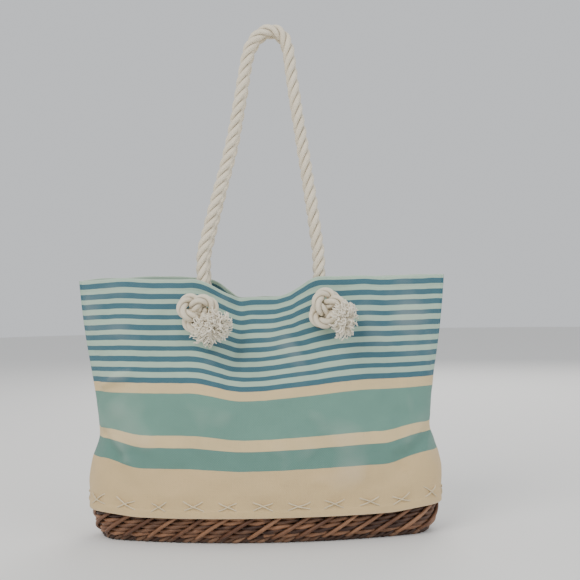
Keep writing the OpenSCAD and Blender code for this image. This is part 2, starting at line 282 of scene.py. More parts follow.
# ------------------------------ materials
class Nodes:
    """Short names for building a node material."""

    def __init__(self, name):
        self.material = bpy.data.materials.new(name)
        self.material.use_nodes = True
        self.tree = self.material.node_tree
        self.shader = self.tree.nodes["Principled BSDF"]

    def new(self, kind, **values):
        node = self.tree.nodes.new(kind)
        for key, value in values.items():
            if hasattr(node, key) and key not in node.inputs:
                setattr(node, key, value)
            else:
                node.inputs[key].default_value = value
        return node

    def link(self, source, target):
        self.tree.links.new(source, target)

    def math(self, operation, a, b=None):
        node = self.tree.nodes.new("ShaderNodeMath")
        node.operation = operation
        for i, value in enumerate((a, b)):
            if value is None:
                continue
            if isinstance(value, (int, float)):
                node.inputs[i].default_value = value
            else:
                self.link(value, node.inputs[i])
        return node.outputs[0]

    def mix(self, factor, a, b, blend="MIX"):
        node = self.tree.nodes.new("ShaderNodeMix")
        node.data_type = "RGBA"
        node.blend_type = blend
        for socket, value in ((node.inputs[0], factor), (node.inputs[6], a), (node.inputs[7], b)):
            if isinstance(value, (int, float)):
                socket.default_value = value
            elif isinstance(value, tuple):
                socket.default_value = (*value, 1) if len(value) == 3 else value
            else:
                self.link(value, socket)
        return node.outputs[2]

    def noise(self, vector, scale, detail=2.0, roughness=0.5):
        node = self.new("ShaderNodeTexNoise", Scale=scale, Detail=detail, Roughness=roughness)
        if vector is not None:
            self.link(vector, node.inputs["Vector"])
        return node.outputs["Fac"]

    def scaled(self, vector, x, y, z=1.0):
        node = self.new("ShaderNodeMapping")
        node.inputs["Scale"].default_value = (x, y, z)
        self.link(vector, node.inputs["Vector"])
        return node.outputs[0]

    def attribute(self, name):
        return self.new("ShaderNodeAttribute", attribute_name=name).outputs["Fac"]

    def range(self, value, lo, hi):
        node = self.new("ShaderNodeMapRange")
        self.link(value, node.inputs[0])
        node.inputs[3].default_value = lo
        node.inputs[4].default_value = hi
        return node.outputs[0]

    def place(self):
        return self.new("ShaderNodeTexCoord").outputs["Object"]

    def uv(self):
        return self.new("ShaderNodeUVMap", uv_map="UVMap").outputs[0]

    def bump(self, height, distance, strength=1.0, under=None):
        node = self.new("ShaderNodeBump", Strength=strength, Distance=distance)
        self.link(height, node.inputs["Height"])
        if under is not None:
            self.link(under, node.inputs["Normal"])
        return node.outputs[0]

    def finish(self, color, roughness, normal=None, sheen=0.0, metallic=0.0, specular=0.5):
        self.link(color, self.shader.inputs["Base Color"])
        if isinstance(roughness, (int, float)):
            self.shader.inputs["Roughness"].default_value = roughness
        else:
            self.link(roughness, self.shader.inputs["Roughness"])
        if normal is not None:
            self.link(normal, self.shader.inputs["Normal"])
        self.shader.inputs["Sheen Weight"].default_value = sheen
        self.shader.inputs["Metallic"].default_value = metallic
        self.shader.inputs["Specular IOR Level"].default_value = specular
        return self.material


def rgb(r, g, b):
    """An sRGB colour as the shader wants it."""
    return tuple((c / 12.92 if c <= 0.04045 else ((c + 0.055) / 1.055) ** 2.4)
                 for c in (r / 255, g / 255, b / 255))


BLUE = rgb(45, 90, 104)
CREAM = rgb(153, 178, 161)
TAN = rgb(197, 176, 132)
SAGE = rgb(90, 131, 119)
SAGE_DEEP = rgb(81, 121, 111)
LINEN_COLOR = rgb(190, 165, 121)


def stripe_stops():
    """Height of each stripe's lower edge and its colour, from the lower hem up."""
    stops, h = [], 0.0
    for width, color in ((LINEN, LINEN_COLOR), (SAGE_LOW, SAGE_DEEP), (TAN_LOW, TAN),
                         (SAGE_HIGH, SAGE), (TAN_HIGH, TAN)):
        stops.append((h, color))
        h += width
    for i in range(2 * BLUE_STRIPES):
        stops.append((h, CREAM if i % 2 else BLUE))
        h += BLUE_STRIPE
    return stops


def weave(n, uv, pitch):
    """Height of a plain weave whose threads are pitch apart: warp over weft by turns."""
    split = n.new("ShaderNodeSeparateXYZ")
    n.link(uv, split.inputs[0])
    warp = n.math("SINE", n.math("MULTIPLY", split.outputs[0], TAU / pitch))
    weft = n.math("SINE", n.math("MULTIPLY", split.outputs[1], TAU / pitch))
    half_warp = n.math("SINE", n.math("MULTIPLY", split.outputs[0], TAU / pitch / 2))
    half_weft = n.math("SINE", n.math("MULTIPLY", split.outputs[1], TAU / pitch / 2))
    over = n.math("MULTIPLY", half_warp, half_weft)
    ribs = n.math("ADD", n.math("MULTIPLY", warp, 0.5), n.math("MULTIPLY", weft, 0.5))
    return n.math("ADD", over, n.math("MULTIPLY", ribs, 0.35))


def canvas_material():
    n = Nodes("striped_canvas")
    uv = n.uv()
    split = n.new("ShaderNodeSeparateXYZ")
    n.link(uv, split.inputs[0])
    wander = n.math("MULTIPLY", n.math("SUBTRACT", n.noise(uv, 60, 1), 0.5), 0.0010)
    height = n.math("ADD", split.outputs[1], wander)
    ramp = n.new("ShaderNodeValToRGB")
    ramp.color_ramp.interpolation = "CONSTANT"
    stops = stripe_stops()
    elements = ramp.color_ramp.elements
    while len(elements) < len(stops):
        elements.new(0.5)
    for element, (h, color) in zip(elements, stops):
        element.position = h / CLOTH_LENGTH
        element.color = (*color, 1)
    n.link(n.math("DIVIDE", height, CLOTH_LENGTH), ramp.inputs[0])
    slub_along = n.noise(n.scaled(uv, 60, 1100), 1.0, 2)
    slub_up = n.noise(n.scaled(uv, 1100, 60), 1.0, 2)
    slub = n.math("ADD", slub_along, slub_up)
    patches = n.noise(uv, 16, 3)
    threads = weave(n, uv, 0.0010)
    color = n.mix(1.0, ramp.outputs[0], n.mix(n.range(slub, -0.1, 1.1), (0.76, 0.77, 0.79),
                                              (1.18, 1.17, 1.15)), "MULTIPLY")
    color = n.mix(1.0, color, n.mix(patches, (0.90, 0.91, 0.92), (1.10, 1.08, 1.06)), "MULTIPLY")
    color = n.mix(n.math("MULTIPLY", n.range(threads, 0.0, 1.0), 0.16), color, (0.92, 0.90, 0.84),
                  "SCREEN")
    # painted highlight: colour mixed toward pale beige on crease ridges, and lighter along the hem
    # and mouth edges
    lighter_edges_and_ridge_highlight = n.attribute("depth")
    color = n.mix(n.math("MULTIPLY", lighter_edges_and_ridge_highlight, 0.35), color, (0.80, 0.76, 0.68))
    rough = n.range(slub, 0.82, 0.95)
    coarse = n.bump(slub, 0.0004, 0.35)
    return n.finish(color, rough, n.bump(threads, 0.00022, 0.6, coarse), sheen=0.15, specular=0.2)


def yarn_material(name, light, dark, sheen=0.25):
    """Cotton fibres that run along a strand, with painted shade in the grooves."""
    n = Nodes(name)
    uv = n.uv()
    fibre = n.noise(n.scaled(uv, 2600, 160), 1.0, 3, 0.6)
    place = n.place()
    patches = n.noise(place, 45, 3)
    color = n.mix(n.range(fibre, -0.2, 1.2), dark, light)
    color = n.mix(1.0, color, n.mix(patches, (0.93, 0.92, 0.90), (1.05, 1.05, 1.05)), "MULTIPLY")
    tone = n.attribute("tone")
    color = n.mix(1.0, color, n.mix(tone, (0.93, 0.92, 0.90), (1.04, 1.04, 1.04)), "MULTIPLY")
    # painted shade: darker where the depth mask is set, in the grooves between strands and at the
    # yarns' roots
    color = n.mix(n.math("MULTIPLY", n.attribute("depth"), 0.75), color,
                  tuple(0.45 * c for c in dark))
    return n.finish(color, n.range(fibre, 0.85, 1.0), n.bump(fibre, 0.0004, 0.55), sheen=sheen,
                    specular=0.15)


def willow_material(name, light, mid, dark):
    """Peeled, stained willow: streaks along the rod, a darker knot here and there, and painted
    shade where the depth mask is set.
    """
    n = Nodes(name)
    uv = n.uv()
    grain = n.noise(n.scaled(uv, 900, 35), 1.0, 4, 0.6)
    fine = n.noise(n.scaled(uv, 2600, 260), 1.0, 2)
    blotch = n.noise(n.place(), 70, 3)
    tone = n.attribute("tone")
    color = n.mix(n.range(grain, -0.6, 1.6), mid, light)
    color = n.mix(n.range(n.math("ADD", tone, n.math("MULTIPLY", blotch, 0.6)), -0.6, 1.0), color,
                  dark)
    color = n.mix(1.0, color, n.mix(fine, (0.82, 0.80, 0.78), (1.14, 1.12, 1.10)), "MULTIPLY")
    # painted shade: darker where the depth mask is set, on weavers where they pass in under the
    # slanted rods
    color = n.mix(n.attribute("depth"), color, tuple(0.25 * c for c in dark))
    height = n.math("ADD", grain, n.math("MULTIPLY", fine, 0.5))
    return n.finish(color, n.range(grain, 0.38, 0.62), n.bump(height, 0.0005, 0.6), specular=0.45)


def metal_material():
    n = Nodes("antique_brass")
    place = n.place()
    tarnish = n.noise(place, 260, 4, 0.6)
    scratch = n.noise(n.scaled(place, 3000, 400, 400), 1.0, 2)
    color = n.mix(n.range(tarnish, -0.3, 1.3), rgb(196, 168, 112), rgb(120, 92, 56))
    rough = n.range(n.math("ADD", tarnish, scratch), 0.15, 0.5)
    return n.finish(color, rough, n.bump(scratch, 0.0001, 0.3), metallic=1.0)


def tape_material():
    n = Nodes("cotton_tape")
    place = n.place()
    rib = n.math("SINE", n.math("MULTIPLY", n.noise(place, 900, 2), 12.0))
    patches = n.noise(place, 60, 2)
    color = n.mix(patches, rgb(196, 184, 158), rgb(222, 212, 188))
    return n.finish(color, 0.92, n.bump(rib, 0.0002, 0.5), sheen=0.15, specular=0.2)


# ------------------------------ cloth surface
def waves(seed, count, longest, shortest):
    """A smooth random field over (x, z), about -1 to 1, as a sum of sines."""
    rng = np.random.default_rng(seed)
    length = np.geomspace(longest, shortest, count)
    angle = rng.uniform(0, math.pi, count)
    phase = rng.uniform(0, TAU, count)
    size = length / longest
    total = math.sqrt(float(np.sum(size ** 2)) / 2)

    def field(x, z):
        out = np.zeros(np.broadcast(x, z).shape)
        for k in range(count):
            turn = TAU / length[k]
            out += size[k] * np.sin(turn * (x * math.cos(angle[k]) + z * math.sin(angle[k]))
                                    + phase[k])
        return out / total / 1.6
    return field


def crease(x, z, points, height, width):
    """A ridge, or a valley where height is below 0, along a line of (x, z) points."""
    best = np.full(np.broadcast(x, z).shape, 1e9)
    for (x0, z0), (x1, z1) in zip(points[:-1], points[1:]):
        dx, dz = x1 - x0, z1 - z0
        t = np.clip(((x - x0) * dx + (z - z0) * dz) / (dx * dx + dz * dz), 0, 1)
        best = np.minimum(best, np.hypot(x - x0 - t * dx, z - z0 - t * dz))
    return height * np.exp(-(best / width) ** 2)


def quarter(r):
    """A quarter of the way round the oval whose ends have radius r."""
    return (SIDE_R - BASKET_R + r) * JOIN + r * (math.pi / 2 - JOIN)


def oval_turn(d, r):
    """Heading at distance d from the middle of a long side, up to the tip of the oval."""
    long_r = SIDE_R - BASKET_R + r
    return np.where(d <= long_r * JOIN, d / long_r, JOIN + (d - long_r * JOIN) / r)


HALF_ROUND = 2 * quarter(CLOTH_R)


def oval_half(s):
    """Front half of the oval that the cloth's hem follows, s from -1 to 1."""
    turn = oval_turn(np.abs(s) * HALF_ROUND / 2, CLOTH_R)
    long_r = SIDE_R - BASKET_R + CLOTH_R
    x = np.where(turn <= JOIN, long_r * np.sin(turn), END_X + CLOTH_R * np.sin(turn))
    y = np.where(turn <= JOIN, SIDE_Y - long_r * np.cos(turn), -CLOTH_R * np.cos(turn))
    return np.where(s < 0, -1.0, 1.0) * x, y


def sag(x, v, front):
    """How much of the dip between the handles there is, from 0 to 1, at x and share v."""
    if front:
        upper = smoothstep(0.5, 1.0, v)
        left = smoothstep(-0.085, -0.020, x)
        right = 1 - smoothstep(lerp(-0.020, 0.016, upper), lerp(0.130, 0.072, upper), x)
        return left * right
    return np.exp(-(x / 0.050) ** 4)


FRONT_CREASES = [
    ([(-0.025, 0.288), (-0.024, 0.262), (-0.034, 0.215), (-0.042, 0.185)], -0.0034, 0.008),
    ([(-0.050, 0.286), (-0.052, 0.250), (-0.060, 0.214)], 0.0018, 0.010),
    ([(0.036, 0.289), (0.038, 0.255), (0.052, 0.230), (0.066, 0.196)], -0.0028, 0.007),
    ([(0.010, 0.284), (0.008, 0.240), (0.002, 0.205)], 0.0014, 0.010),
    ([(-0.196, 0.186), (-0.178, 0.197), (-0.160, 0.204)], 0.0034, 0.0055),
    ([(-0.198, 0.179), (-0.172, 0.184), (-0.150, 0.192)], -0.0028, 0.006),
    ([(-0.206, 0.162), (-0.196, 0.144), (-0.186, 0.126)], 0.0034, 0.008),
    ([(-0.190, 0.128), (-0.181, 0.115), (-0.172, 0.104)], -0.0052, 0.0065),
    ([(-0.177, 0.120), (-0.170, 0.109), (-0.164, 0.100)], 0.0026, 0.006),
    ([(-0.120, 0.090), (-0.134, 0.100), (-0.150, 0.110)], -0.0018, 0.010),
    ([(0.160, 0.100), (0.166, 0.084)], -0.0028, 0.006),
    ([(0.173, 0.186), (0.175, 0.150), (0.172, 0.115)], 0.0018, 0.006),
    ([(0.200, 0.132), (0.188, 0.112), (0.172, 0.098)], -0.0034, 0.007),
    ([(0.204, 0.240), (0.202, 0.205), (0.206, 0.178)], 0.0022, 0.007),
    ([(-0.206, 0.224), (-0.190, 0.212), (-0.168, 0.208)], -0.0020, 0.008),
    ([(-0.105, 0.168), (-0.060, 0.150), (-0.010, 0.146)], 0.0013, 0.014),
    ([(0.060, 0.150), (0.110, 0.134), (0.150, 0.128)], 0.0012, 0.012),
    ([(-0.090, 0.292), (-0.094, 0.262), (-0.104, 0.232)], 0.0014, 0.010),
    ([(0.110, 0.300), (0.122, 0.262), (0.126, 0.226)], 0.0014, 0.012),
]
BACK_CREASES = [
    ([(-0.030, 0.289), (-0.036, 0.250), (-0.054, 0.214)], -0.0030, 0.008),
    ([(0.032, 0.288), (0.030, 0.252), (0.040, 0.206), (0.038, 0.184)], -0.0032, 0.008),
    ([(0.000, 0.284), (0.004, 0.236)], 0.0016, 0.011),
    ([(0.204, 0.168), (0.190, 0.142), (0.176, 0.120)], 0.0034, 0.008),
    ([(0.200, 0.128), (0.184, 0.110), (0.168, 0.098)], -0.0046, 0.007),
    ([(-0.198, 0.140), (-0.184, 0.118), (-0.170, 0.104)], -0.0040, 0.007),
    ([(-0.202, 0.172), (-0.190, 0.150)], 0.0026, 0.007),
    ([(0.150, 0.206), (0.186, 0.190)], -0.0024, 0.007),
    ([(-0.120, 0.112), (-0.080, 0.096), (-0.030, 0.092)], -0.0014, 0.011),
    ([(0.070, 0.150), (0.118, 0.136)], 0.0014, 0.012),
    ([(-0.120, 0.300), (-0.128, 0.256), (-0.142, 0.222)], 0.0016, 0.011),
]
RIPPLES = {True: waves(11, 16, 0.170, 0.030), False: waves(23, 16, 0.170, 0.030)}
FINE_RIPPLES = waves(31, 26, 0.060, 0.016)
EDGE_WAVES = {True: waves(5, 6, 0.16, 0.035), False: waves(8, 6, 0.14, 0.035)}


def cloth_point(s, v, front=True):
    """A point of the panel's middle skin, before it is creased. s runs from the left seam, -1,
    to the right seam, 1, and v from the hem to the mouth."""
    s, v = np.broadcast_arrays(np.asarray(s, float), np.asarray(v, float))
    x_mouth = BAG_W / 2 * s
    top = BAG_H - DIP * sag(x_mouth, np.ones_like(s), front)
    edge = EDGE_WAVES[front](x_mouth, 0 * s) * 0.0016 * (1 - s ** 8)
    lift = 0.0 if front else 0.006 * (1 - smoothstep(-0.16, -0.05, x_mouth)) * (1 - s ** 6)
    z = HEM_Z + v * (BAG_H - HEM_Z) - DIP * sag(x_mouth, v, front) * v ** 1.3
    z = z + (edge + lift) * v ** 3
    t = np.clip((z - RIM_Z) / (top - RIM_Z), 0, 1.05)
    low_x, low_y = oval_half(s)
    rise = lerp(0.004, 0.011, smoothstep(0.0, 0.2, v)) * (1 - smoothstep(0.2, 0.55, v))
    z = z + rise * smoothstep(0.146, 0.200, np.abs(low_x))
    high_x, high_y = x_mouth, -MOUTH_GAP / 2 * (1 - s * s)
    spread = np.where(t < WAIST_AT, WAIST_BELOW, WAIST_ABOVE)
    draw = WAIST * bump(t - WAIST_AT, spread) * s ** 3
    recess = PINCH * sag(x_mouth, v, front) * np.clip(t, 0, 1) ** 2.5
    x = lerp(low_x, high_x, t) - draw
    y = lerp(low_y, high_y, t) + recess
    return np.stack([x, y if front else -y, z], axis=-1)


def cloth_normal(s, v, front=True):
    """Outward direction of the uncreased panel."""
    e = 0.004
    ds = cloth_point(np.clip(s + e, -1, 1), v, front) - cloth_point(np.clip(s - e, -1, 1), v,
                                                                  front)
    dv = cloth_point(s, np.clip(v + e, 0, 1), front) - cloth_point(s, np.clip(v - e, 0, 1), front)
    return unit(np.cross(ds, dv)) * (1 if front else -1)


STITCH_UP = 0.014


def crease_height(s, v, front=True):
    """How far the creased cloth lies out from the plain panel."""
    p = cloth_point(s, v, front)
    x, z = p[..., 0], p[..., 2]
    out = RIPPLES[front](x, z) * 0.0026 + FINE_RIPPLES(x, z) * 0.0007
    for line, height, width in (FRONT_CREASES if front else BACK_CREASES):
        out = out + crease(x, z, line, height, width)
    if front:
        out = out - 0.004 * smoothstep(-0.196, -0.210, x) * bump(z - 0.150, 0.022)
    eyelets = np.minimum(np.hypot(x - FOOT_X, z - EYELET_Z), np.hypot(x + FOOT_X, z - EYELET_Z))
    out = out * (1 - np.exp(-(eyelets / 0.026) ** 4))
    h = v * CLOTH_LENGTH
    out = out * lerp(0.25, 1, smoothstep(0.010, 0.050, h))
    seam = (1 - np.abs(s)) * HALF_ROUND / 2
    out = out * smoothstep(0.0, 0.018, seam) - 0.0016 * bump(seam, 0.0028)
    around = np.abs(s) * HALF_ROUND / 2 / STITCH_PITCH
    pull = np.abs(around - np.round(around)) * STITCH_PITCH
    out = out - 0.0008 * bump(h - STITCH_UP, 0.007) * bump(pull, 0.012)
    out = out + 0.0011 * np.sin(TAU * around * 0.5 + 1.1) * bump(h - 0.030, 0.012)
    return out


STITCH_PITCH = HALF_ROUND / 12


def cloth_skin(s, v, front=True):
    """The creased cloth's middle skin and its outward direction."""
    base, out = cloth_point(s, v, front), cloth_normal(s, v, front)
    return base + out * crease_height(s, v, front)[..., None], out


def make_panel(name, front, material):
    """The cloth as two skins joined all round, round its two eyelet holes as well."""
    near_seam = np.array([0.0008, 0.0018, 0.003, 0.0045, 0.0062, 0.0082])
    seam_s = 1 - near_seam / (HALF_ROUND / 2)
    s = np.unique(np.concatenate([np.linspace(-seam_s[-1], seam_s[-1], 262), seam_s, -seam_s,
                                  [-1, 1]]))
    h_low = np.array([0, 0.0002, 0.0005, 0.0010, 0.0030, 0.0060, 0.0084, 0.0090, 0.0096])
    stitch = CLOTH_LENGTH - 0.0135
    h_high = np.array([stitch - 0.0010, stitch, stitch + 0.0010]
                      + [CLOTH_LENGTH - e for e in (0.0100, 0.0072, 0.0045, 0.0025, 0.0012,
                                                    0.0006, 0.0002, 0)])
    h = np.concatenate([h_low, np.linspace(0.0118, stitch - 0.0024, 134), h_high])
    S, V = np.meshgrid(s, h / CLOTH_LENGTH)
    H = V * CLOTH_LENGTH
    middle, out = cloth_skin(S, V, front)
    hem = 1 - smoothstep(0.0084, 0.0096, H)
    top = smoothstep(stitch - 0.0010, stitch + 0.0010, H)
    half = CLOTH_T / 2 + 0.0004 * hem + 0.00045 * top
    half = half - 0.0005 * bump(H - stitch, 0.0007)
    edge = np.minimum(np.minimum(H, CLOTH_LENGTH - H) / 0.0010, 1)
    half = half * np.sqrt(np.clip(1 - (1 - edge) ** 2, 0.02, 1))
    outer = middle + out * half[..., None]
    inner = middle - out * half[..., None]
    inward = unit(middle * [1, 0, 0]) * [1, 0, 0]
    inner = inner - inward * (0.0016 * smoothstep(0.97, 1.0, np.abs(S)) * V)[..., None]
    uv = np.stack([S * CLOTH_WIDTH / 2, H], axis=-1)
    rows, cols = S.shape
    centre = (middle[:-1, :-1] + middle[1:, 1:]) / 2
    keep = np.ones((rows - 1, cols - 1), bool)
    for side in (-1, 1):
        gap = np.linalg.norm(centre - [side * FOOT_X, -EYELET_Y if front else EYELET_Y, EYELET_Z],
                             axis=-1)
        keep &= gap > EYELET_HOLE
    points = np.concatenate([outer.reshape(-1, 3), inner.reshape(-1, 3)])
    flat_uv = uv.reshape(-1, 2).tolist()
    skin = rows * cols
    faces, corners = [], []
    padded = np.pad(keep, 1)
    for i, j in zip(*np.nonzero(keep)):
        a, b = i * cols + j, i * cols + j + 1
        c, d = b + cols, a + cols
        quad = [a, b, c, d] if front else [d, c, b, a]
        faces += [quad, [k + skin for k in quad[::-1]]]
        corners += [[flat_uv[k] for k in quad], [flat_uv[k] for k in quad[::-1]]]
        for other, (p, q) in zip((padded[i, j + 1], padded[i + 1, j + 2], padded[i + 2, j + 1],
                                  padded[i + 1, j]), ((a, b), (b, c), (c, d), (d, a))):
            if not other:
                wall = [p, p + skin, q + skin, q]
                wall = wall if front else wall[::-1]
                faces.append(wall)
                corners.append([flat_uv[k % skin] for k in wall])
    used = np.zeros(2 * skin, bool)
    used[np.unique(np.concatenate([np.asarray(f) for f in faces]))] = True
    index = np.cumsum(used) - 1
    faces = [[int(index[k]) for k in face] for face in faces]
    # mask for the canvas colour: lighter along the hem and mouth edges, and a painted highlight
    # where crease ridges stand out
    lighter_edges_and_ridge_highlight = 0.7 * (1 - smoothstep(0, 0.0016, np.minimum(H, CLOTH_LENGTH - H)))
    lighter_edges_and_ridge_highlight = np.clip(lighter_edges_and_ridge_highlight + 90 * np.clip(crease_height(S, V, front) - 0.0012, 0, 1), 0, 1)
    mesher = Mesher()
    mesher.add(points[used], faces, corners, 0.5, np.tile(lighter_edges_and_ridge_highlight.ravel(), 2)[used])
    return mesher.build(name, material)


def make_tape(name, side, material):
    """Tape over the seam allowance inside one side, down to the basket's rim."""
    v = np.linspace(0.13, 0.995, 90)
    edge = cloth_point(side, v)
    wobble = waves(31 + side, 5, 0.09, 0.02)(v * CLOTH_LENGTH, 0)
    mesher = Mesher()
    path = edge - np.stack([side * (0.0072 + 0.0026 * v + 0.0004 * wobble),
                            0.0004 * wobble, 0 * v], axis=-1)
    angle = np.arange(12) * TAU / 12
    across = np.sign(np.cos(angle)) * np.abs(np.cos(angle)) ** 0.6 * 0.0046
    thick = np.sin(angle) * 0.0011
    rows = (path[:, None, :] + across[None, :, None] * np.array([1.0, 0, 0])
            + thick[None, :, None] * np.array([0, 1.0, 0]))
    n = len(path)
    flat = np.concatenate([rows.reshape(-1, 3), path[:1], path[-1:]])
    faces, corners = [], []
    for i in range(n - 1):
        for j in range(12):
            k = (j + 1) % 12
            faces.append([i * 12 + j, i * 12 + k, (i + 1) * 12 + k, (i + 1) * 12 + j])
            left, right = j * 0.0012, (j + 1) * 0.0012
            low, high = v[i] * CLOTH_LENGTH, v[i + 1] * CLOTH_LENGTH
            corners.append([(left, low), (right, low), (right, high), (left, high)])
    for j in range(12):
        k = (j + 1) % 12
        faces += [[n * 12, k, j], [n * 12 + 1, (n - 1) * 12 + j, (n - 1) * 12 + k]]
        corners += [[(0, 0)] * 3, [(0, 0)] * 3]
    mesher.add(flat, faces, corners)
    return mesher.build(name, material)


# ------------------------------ cross stitches
def around_point(w, v):
    """Cloth point and outward direction at w, which runs from -2 to 2 right round the bag: the
    front is -1 to 1, from the left seam to the right, and the back goes on from there."""
    w = (np.asarray(w, float) + 2) % 4 - 2
    front = np.abs(w) <= 1
    s_front = np.clip(w, -1, 1)
    s_back = np.where(w > 0, 2 - w, -2 - w)
    pf, nf = cloth_skin(s_front, v, True)
    pb, nb = cloth_skin(np.clip(s_back, -1, 1), v, False)
    pick = front[..., None]
    return np.where(pick, pf, pb), np.where(pick, nf, nb)


def make_stitches(name, places, material, seed):
    """Cross stitches: two threads each, which dip into the cloth at their ends."""
    rng = np.random.default_rng(seed)
    mesher = Mesher()
    t = np.linspace(-1, 1, 15)
    for place in places:
        width = 0.0250 * rng.uniform(0.86, 1.10)
        height = 0.0115 * rng.uniform(0.80, 1.15)
        lean = rng.uniform(-0.10, 0.10)
        centre_h = STITCH_UP + rng.uniform(-0.0010, 0.0012)
        shift = rng.uniform(-0.0015, 0.0015)
        for k, way in enumerate((1, -1)):
            grow = rng.uniform(0.86, 1.08)
            dx = t * width / 2 * grow
            dh = way * t * height / 2 * rng.uniform(0.85, 1.1) + lean * dx
            dh = dh + 0.0005 * np.sin(t * 3 + rng.uniform(0, 6))
            w = place * 2 * STITCH_PITCH / HALF_ROUND + (dx + shift) / (HALF_ROUND / 2)
            p, n = around_point(w, (centre_h + dh) / CLOTH_LENGTH)
            lift = 0.00145 + k * 0.0013 * np.exp(-(t / 0.22) ** 2)
            lift = lift - 0.0026 * np.abs(t) ** 7
            mesher.tube(p + n * lift[:, None], 0.00095, 8, tone=rng.uniform(0, 1))
    return mesher.build(name, material)


# ------------------------------ rope
STRANDS = 3
STRAND_R = 0.232      # share of the rope's diameter
STRAND_OFF = 0.268


def twist_rope(mesher, path, diameter, normal, phase, seed, sides=12):
    """Three strands laid round the path, right handed. Returns the last normal and phase, from
    which another piece of the same rope goes on."""
    rng = np.random.default_rng(seed)
    n = len(path)
    d = np.broadcast_to(np.asarray(diameter, float), n)
    side_dir, up_dir = frames(path, normal)
    step = np.concatenate([[0], np.linalg.norm(np.diff(path, axis=0), axis=1)])
    lay = ROPE_LAY * d / ROPE_D
    turn = phase + np.cumsum(step * TAU / lay)
    angle = np.arange(sides) * TAU / sides
    # painted shade on the side of each strand that faces the rope's core, in the grooves
    groove_shade = np.clip((np.cos(angle) + 0.10) / 0.75, 0, 1)
    for k in range(STRANDS):
        a = turn + k * TAU / STRANDS
        away = np.cos(a)[:, None] * side_dir + np.sin(a)[:, None] * up_dir
        strand = path + away * (d * STRAND_OFF)[:, None]
        plump = 1 + 0.03 * np.sin(turn * 0.7 + rng.uniform(0, 6))
        mesher.tube(strand, STRAND_R * d * plump, sides, normal=-away, tone=rng.uniform(0.3, 0.8),
                    depth=groove_shade[None, :])
    return side_dir[-1], turn[-1]


def mirror_y(points, front):
    return points if front else points * np.array([1.0, -1.0, 1.0])


class Corner:
    """The frame of one eyelet: x to the right, u up the cloth, w outward."""

    def __init__(self, side, front):
        self.side, self.front = side, front
        face = -1 if front else 1
        self.at = np.array([side * FOOT_X, face * EYELET_Y, EYELET_Z])
        self.right = np.array([-face * 1.0, 0, 0])
        self.up = np.array([0, -face * math.sin(LEAN), math.cos(LEAN)])
        self.out = np.array([0, face * math.cos(LEAN), math.sin(LEAN)])

    def point(self, local):
        local = np.asarray(local, float)
        return (self.at + local[..., 0:1] * self.right + local[..., 1:2] * self.up
                + local[..., 2:3] * self.out)


LEG_LOW = 0.0125


def handle_path(front):
    """The rope's line from above one elbow, over the crown, to above the other."""
    arch = [(-0.0702, 0.346), (-0.0655, 0.364), (-0.0545, 0.404), (-0.0338, 0.478),
            (-0.0222, 0.534), (-0.0128, 0.584), (-0.0062, 0.602), (0.0045, 0.6145),
            (0.0190, 0.6188), (0.0315, 0.6120), (0.0382, 0.596), (0.0412, 0.570),
            (0.0470, 0.524), (0.0535, 0.478), (0.0625, 0.412), (0.0685, 0.364),
            (0.0706, 0.346)]
    legs = {}
    for side in (-1, 1):
        corner = Corner(side, True)
        top = (HINGE_Z - EYELET_Z + LEG_OFF * math.sin(LEAN)) / math.cos(LEAN)
        legs[side] = corner.point([[0, u, -LEG_OFF] for u in
                                   np.linspace(LEG_LOW, top - 0.004, 5)])
    slope = (FOOT_Y - CROWN_Y) / (CROWN_Z - HINGE_Z)
    arch = [(x, -FOOT_Y + slope * (z - HINGE_Z), z) for x, z in arch]
    points = np.concatenate([legs[-1], arch, legs[1][::-1]])
    return mirror_y(smooth_path(points, 0.0016), front)


def knot_path(corner, shift, turn, spread):
    """Rope from above the elbow, out through the eyelet, round the knot and into its tail."""
    out = [[0, u, -LEG_OFF] for u in (LEG_LOW + 0.0006, LEG_LOW - 0.002)]
    bend = 0.008
    for a in np.linspace(0.15, math.pi / 2, 5):
        out.append([0, bend - bend * math.sin(a), -LEG_OFF + bend - bend * math.cos(a)])
    out += [[0, 0, 0.000], [shift[0] * 0.25, shift[1] * 0.25, 0.006]]
    t = np.linspace(KNOT_FROM, KNOT_FROM + KNOT_TURNS * TAU, 46)
    ring = KNOT_RING + KNOT_WAVE * np.cos(1.5 * t)
    x, y = ring * np.cos(t + turn), ring * np.sin(t + turn)
    z = KNOT_WAVE * 0.97 * np.sin(1.5 * t)
    knot = np.stack([x + shift[0], y + shift[1], z + KNOT_OUT], axis=1)
    tail_dir = np.array([math.cos(spread), math.sin(spread), 0.42])
    last = knot[-1]
    tail = [last + tail_dir * 0.005, last + tail_dir * 0.0095]
    path = corner.point(smooth_path(np.concatenate([out, knot, tail]), 0.0016))
    return path, corner.point(np.array(tail[-1])), tail_dir


KNOT_RING = 0.0126
KNOT_WAVE = 0.0070
KNOT_OUT = 0.0176
KNOT_FROM = math.radians(122)
KNOT_TURNS = 1.86


